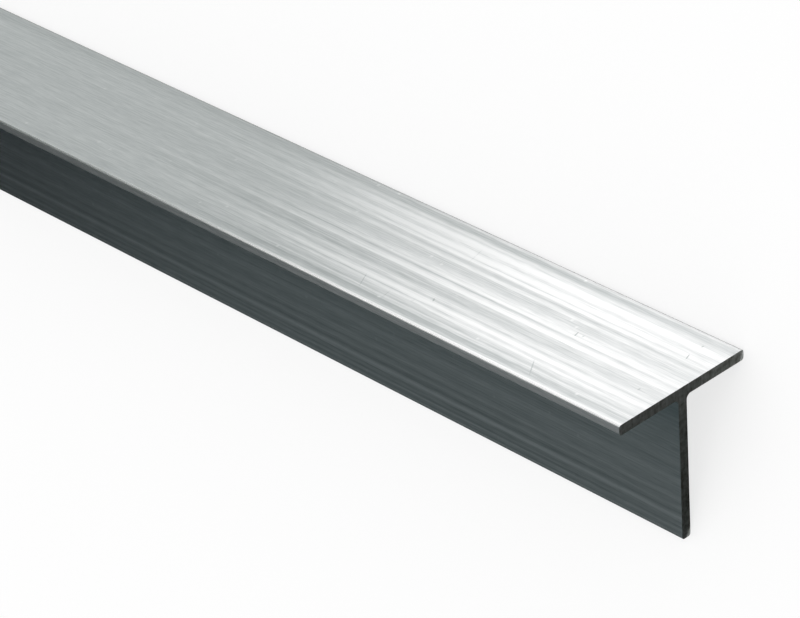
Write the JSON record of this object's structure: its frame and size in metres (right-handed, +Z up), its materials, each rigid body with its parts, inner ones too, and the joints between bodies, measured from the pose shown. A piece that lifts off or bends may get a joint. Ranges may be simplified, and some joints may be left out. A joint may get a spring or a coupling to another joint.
{
  "type": "aluminium tee bar",
  "caption": "Extruded aluminium tee bar: a thin flat flange with a thin web along its middle, raw mill-finish stock cut square at both ends.",
  "frame": {"origin": "on the floor, under the middle of the bounding box", "axes": "+X along the bar towards the cut end that the picture shows, +Y towards the side that the flange's outer face looks to, +Z up from the floor the bar lies on"},
  "size_m": [1, 0.0336, 0.0274],
  "materials": {
    "mill_aluminium": "mill finish with lengthwise die lines"
  },
  "bodies": {
    "root": {"tee_bar": "mill_aluminium"}
  },
  "joints": []
}
